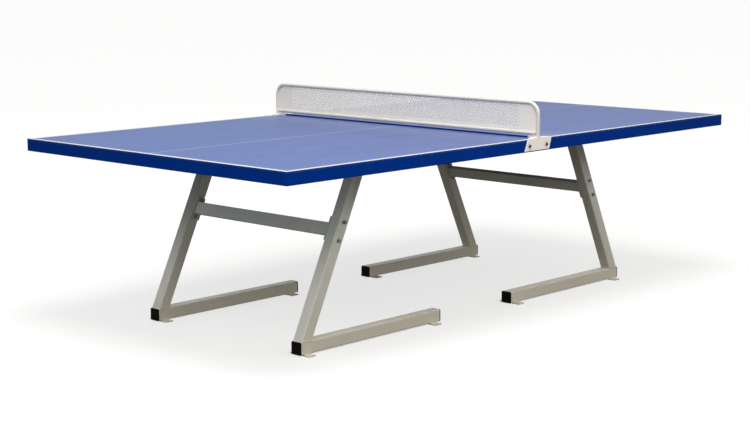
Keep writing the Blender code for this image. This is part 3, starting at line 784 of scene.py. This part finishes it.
# ---------------------------------------------------------------- tube caps
def tube_cap(name, node):
    """Moulded plug: head with soft edges, shallow panel, stem with a shallowly
    recessed end.
    """
    lo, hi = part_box(node)
    mid = (lo + hi) / 2
    foot = node.replace("foot_cap_outer", "foot").replace("foot_cap_inner",
                                                          "foot")
    f_lo, f_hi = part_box(foot)
    out = 1 if abs(hi.x - f_hi.x) < abs(lo.x - f_lo.x) else -1
    end = f_hi.x if out > 0 else f_lo.x
    depth = (hi.x if out > 0 else -lo.x) - out * end
    m = frame_on((end, mid.y, mid.z), (out, 0, 0), Z)
    w, h0 = 0.0499, 0.0003
    bm = bmesh.new()

    def ring(width, radius, z):
        return [m @ Vector((x, y, z))
                for x, y in rounded_rect(width, width, max(radius, 0.0004),
                                         5)]

    s, t = 0.0444, depth
    loft(bm, [
        ring(s - 0.005, 0.002, -0.0172), ring(s - 0.0020, 0.0028, -0.0178),
        ring(s - 0.0002, 0.003, -0.0160), ring(s - 0.0002, 0.003, h0),
        ring(w - 0.0006, 0.0048, h0), ring(w, 0.005, h0 + 0.0004),
        ring(w, 0.005, t - 0.0016), ring(w - 0.0004, 0.0049, t - 0.0009),
        ring(w - 0.0014, 0.0045, t - 0.0003), ring(w - 0.0030, 0.004, t),
        ring(w - 0.0090, 0.0030, t), ring(w - 0.0098, 0.0028, t - 0.0001),
        ring(w - 0.0106, 0.0026, t - 0.0005),
        ring(w - 0.0112, 0.0024, t - 0.0006)])
    # gate mark in the middle of the panel
    loft(bm, turned_rings([(0.0036, t - 0.0007), (0.0036, t - 0.0004),
                           (0.0030, t - 0.0003), (0.0026, t - 0.0003),
                           (0.0022, t - 0.0005)], m, 28))
    add_mesh(name, bm, "cap_black", [node], flats=True)


for row_name, row in ROWS:
    for side_name, side in HALVES:
        for end in ("outer", "inner"):
            where = "%s_%s_%s" % (end, row_name, side_name)
            tube_cap("cap_" + where, "foot_cap_" + where)


# -------------------------------------------------------------------- welds
leg_lo, leg_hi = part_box("leg_near_left")
beam_lo, beam_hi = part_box("cross_beam_right")
FOOT_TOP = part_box("foot_near_left")[1].z
HEAD_TOP = leg_hi.z
HEAD_LOW = HEAD_TOP - 0.008
TUBE = 0.050
# the leg's centre line at its low end, from the outer end of its box
LEG_X0 = abs(leg_lo.x) - TUBE / 2 / math.cos(LEAN)
LEG_Z0 = leg_lo.z


def leg_x(z):
    return LEG_X0 - (z - LEG_Z0) * math.tan(LEAN)


for row_name, row in ROWS:
    for side_name, side in HALVES:
        where = "%s_%s" % (row_name, side_name)
        yc = row * 0.422
        bm = bmesh.new()
        # leg on the foot, and leg under its head plate
        for z, grow, r in ((FOOT_TOP + 0.0002, 0.0006, 0.0022),
                           (HEAD_LOW - 0.0004, 0.0006, 0.0022)):
            wide = TUBE / math.cos(LEAN)
            ring = [Vector((side * (leg_x(z)) + x, yc + y, z))
                    for x, y in rounded_rect(wide + 2 * grow,
                                             TUBE - 0.0012, 0.006, 5)]
            bead(bm, ring, r, True, z * 9 + row + 2 * side)
        # foot on its two floor plates
        for end in ("outer", "inner"):
            lo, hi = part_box("floor_plate_%s_%s" % (end, where))
            for s in (-1, 1):
                y = yc + s * (TUBE / 2 - 0.0016)
                bead(bm, [Vector((lo.x + 0.003, y, hi.z + 0.0008)),
                          Vector((hi.x - 0.003, y, hi.z + 0.0008))],
                     0.0021, False, s + lo.x * 7)
        add_mesh("welds_leg_" + where, bm, "frame_grey", sharp=60)

for side_name, side in HALVES:
    lo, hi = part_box("cross_beam_" + side_name)
    mid = (lo + hi) / 2
    along = Vector((-side * math.sin(LEAN), 0, math.cos(LEAN)))
    across = Vector((math.cos(LEAN), 0, side * math.sin(LEAN)))
    bm = bmesh.new()
    for s in (-1, 1):
        y = (hi.y if s > 0 else lo.y) - s * 0.0052
        ring = [Vector((mid.x, y, mid.z)) + across * u + along * v
                for u, v in rounded_rect(0.0260, 0.0510, 0.004, 4)]
        bead(bm, ring, 0.0020, True, s + side)
    add_mesh("welds_beam_" + side_name, bm, "frame_grey", sharp=60)

    # bearer ends to the aprons' inner flanges
    lo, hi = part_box("top_bearer_" + side_name)
    bm = bmesh.new()
    for s in (-1, 1):
        y = (hi.y if s > 0 else lo.y) + s * 0.0001
        bead(bm, [Vector((lo.x + 0.008, y, lo.z + 0.0010)),
                  Vector((hi.x - 0.008, y, lo.z + 0.0010))], 0.0022, False, s)
    # rails mitred at the corners: ground weld over each mitre
    r_lo, r_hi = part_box("apron_end_" + side_name)
    for s in (-1, 1):
        x1, y1 = side * (max(abs(r_lo.x), abs(r_hi.x)) - 0.00008), \
            s * (r_hi.y - 0.00008)
        a = 0.0011
        corner = [(x1 - side * 0.0030, y1)]
        for i in range(6):
            t = math.radians(90 * i / 5)
            corner.append((x1 - side * (a - a * math.sin(t)),
                           y1 - s * (a - a * math.cos(t))))
        corner += [(x1, y1 - s * 0.0030), (x1 - side * 0.0019, y1 - s * 0.0030),
                   (x1 - side * 0.0019, y1 - s * 0.0019),
                   (x1 - side * 0.0030, y1 - s * 0.0019)]
        prism(bm, corner, r_lo.z + 0.0030, r_hi.z - 0.0002)
    add_mesh("welds_apron_" + side_name, bm, "apron_blue", sharp=60)


# -------------------------------------------------------------------- stage
def make_stage():
    n = Nodes("floor_pale")
    n.tree.nodes.remove(n.bsdf)
    # painted shadow: the floor's emission is dimmer near the table and brightens
    # away from it
    away = n.new("ShaderNodeVectorMath", operation="LENGTH")
    shape = n.new("ShaderNodeMapping")
    shape.inputs["Location"].default_value = (-0.05, -0.05, 0.0)
    shape.inputs["Scale"].default_value = (0.55, 0.75, 1.0)
    n.link(n.pos, shape.inputs["Vector"])
    n.link(shape.outputs[0], away.inputs[0])
    painted_shadow_emission = n.new("ShaderNodeEmission")
    n.link(n.span(away.outputs["Value"], 0.85, 1.9, 0.697, 0.832),
           painted_shadow_emission.inputs["Strength"])
    diff = n.new("ShaderNodeBsdfDiffuse")
    diff.inputs["Color"].default_value = (0.222, 0.222, 0.222, 1)
    add = n.new("ShaderNodeAddShader")
    n.link(painted_shadow_emission.outputs[0], add.inputs[0])
    n.link(diff.outputs[0], add.inputs[1])
    n.link(add.outputs[0], n.out.inputs[0])
    bm = bmesh.new()
    bmesh.ops.create_grid(bm, x_segments=1, y_segments=1, size=60.0)
    mesh = bpy.data.meshes.new("floor")
    bm.to_mesh(mesh)
    bm.free()
    mesh.materials.append(n.mat)
    floor = bpy.data.objects.new("floor", mesh)
    floor.location.z = -0.0005
    SCENE.collection.objects.link(floor)
    floor.visible_diffuse = False
    floor.visible_glossy = False


def make_world():
    """Soft tent: bright from about 20 degrees up, cooler and dimmer along
    the horizon, warm and dark below it; warmer and brighter towards the
    front, dimmer towards the left."""
    world = bpy.data.worlds.new("soft_studio")
    SCENE.world = world
    world.use_nodes = True
    tree = world.node_tree
    tree.nodes.clear()
    out = tree.nodes.new("ShaderNodeOutputWorld")
    bg = tree.nodes.new("ShaderNodeBackground")
    coord = tree.nodes.new("ShaderNodeTexCoord")
    sep = tree.nodes.new("ShaderNodeSeparateXYZ")
    span = tree.nodes.new("ShaderNodeMapRange")
    ramp = tree.nodes.new("ShaderNodeValToRGB")
    tree.links.new(coord.outputs["Generated"], sep.inputs[0])
    tree.links.new(sep.outputs["Z"], span.inputs["Value"])
    span.inputs["From Min"].default_value = -1.0
    span.inputs["From Max"].default_value = 1.0
    tree.links.new(span.outputs[0], ramp.inputs[0])
    stops = [(-1.0, (0.110, 0.094, 0.070)), (-0.30, (0.118, 0.102, 0.076)),
             (-0.05, (0.15, 0.136, 0.113)), (0.03, (0.37, 0.42, 0.46)),
             (0.20, (0.50, 0.55, 0.60)), (0.40, (0.72, 0.73, 0.74)),
             (0.72, (0.72, 0.72, 0.71)), (0.85, (0.50, 0.50, 0.50)),
             (1.0, (0.40, 0.40, 0.40))]
    peak = 1.0
    els = ramp.color_ramp.elements
    while len(els) < len(stops):
        els.new(0.5)
    for el, (z, col) in zip(els, stops):
        el.position = (z + 1) / 2
        el.color = (*[c / peak for c in col], 1.0)
    col = ramp.outputs[0]
    for axis, way, gain in (("Y", -1.0, (1.19, 1.12, 1.02)),
                            ("X", -1.0, (0.88, 0.86, 0.82)),
                            ("X", 1.0, (1.28, 1.25, 1.20))):
        side = tree.nodes.new("ShaderNodeMapRange")
        side.inputs["From Min"].default_value = 0.0
        side.inputs["From Max"].default_value = way
        tree.links.new(sep.outputs[axis], side.inputs["Value"])
        mix = tree.nodes.new("ShaderNodeMix")
        mix.data_type = "RGBA"
        socks = {i.name: i for i in mix.inputs if i.enabled}
        socks["A"].default_value = (1.0, 1.0, 1.0, 1.0)
        socks["B"].default_value = (*gain, 1.0)
        tree.links.new(side.outputs[0], socks["Factor"])
        times = tree.nodes.new("ShaderNodeVectorMath")
        times.operation = "MULTIPLY"
        tree.links.new(col, times.inputs[0])
        tree.links.new([o for o in mix.outputs if o.enabled][0],
                       times.inputs[1])
        col = times.outputs[0]
    tree.links.new(col, bg.inputs["Color"])
    bg.inputs["Strength"].default_value = peak
    tree.links.new(bg.outputs[0], out.inputs[0])


def make_key():
    """One large soft light overhead, a little to the left and the front."""
    light = bpy.data.lights.new("key_soft", "AREA")
    light.shape = "DISK"
    light.size = 3.2
    light.energy = 360.0
    light.color = (1.0, 0.98, 0.95)
    ob = bpy.data.objects.new("key_soft", light)
    d = Vector((-0.24, -0.24, 1.0)).normalized()
    ob.matrix_world = frame_on(Vector((0, 0, 0.4)) + d * 6.0, d, X)
    SCENE.collection.objects.link(ob)


def make_fill(name, at, towards, width, height, power, colour):
    """A standing softbox."""
    light = bpy.data.lights.new(name, "AREA")
    light.shape = "RECTANGLE"
    light.size = width
    light.size_y = height
    light.energy = power
    light.color = colour
    ob = bpy.data.objects.new(name, light)
    back = Vector(at) - Vector(towards)
    ob.matrix_world = frame_on(at, back, Z.cross(back))
    ob.visible_camera = False
    SCENE.collection.objects.link(ob)


def make_low_fill(name, at, towards, width, spread, power, colour, lit):
    """A low gridded softbox for a few nodes of the left frame."""
    make_fill(name, at, towards, width, 0.14, power, colour)
    ob = bpy.data.objects[name]
    ob.data.spread = math.radians(spread)
    reach = bpy.data.collections.new(name + "_reach")
    for node in lit:
        reach.objects.link(NODES[node])
    ob.light_linking.receiver_collection = reach


make_stage()
make_world()
make_key()
make_fill("fill_front", (-0.2, -2.4, 1.80), (0, -0.4, 0.2), 4.0, 0.9, 30.5,
          (1.0, 0.94, 0.85))
make_fill("fill_left", (-3.6, -0.85, 2.7), (-0.8, 0, 0.2), 2.6, 1.4, 51.0,
          (1.0, 0.98, 0.95))
make_low_fill("fill_low_left", (-2.5, -0.05, 0.46), (-0.6, -0.05, 0.48), 2.0,
              34, 0.44, (0.93, 1.0, 1.02), ("cross_beam_left", "leg_near_left"))
make_low_fill("fill_low_front", (-0.8, -2.6, 0.66), (-0.8, 0, 0.67), 1.2,
              26, 0.13, (1.0, 0.93, 0.80), ("leg_near_left", "leg_far_left"))

SCENE.view_settings.view_transform = "Standard"
SCENE.view_settings.look = "None"
SCENE.view_settings.exposure = 0.0
SCENE.view_settings.gamma = 1.0
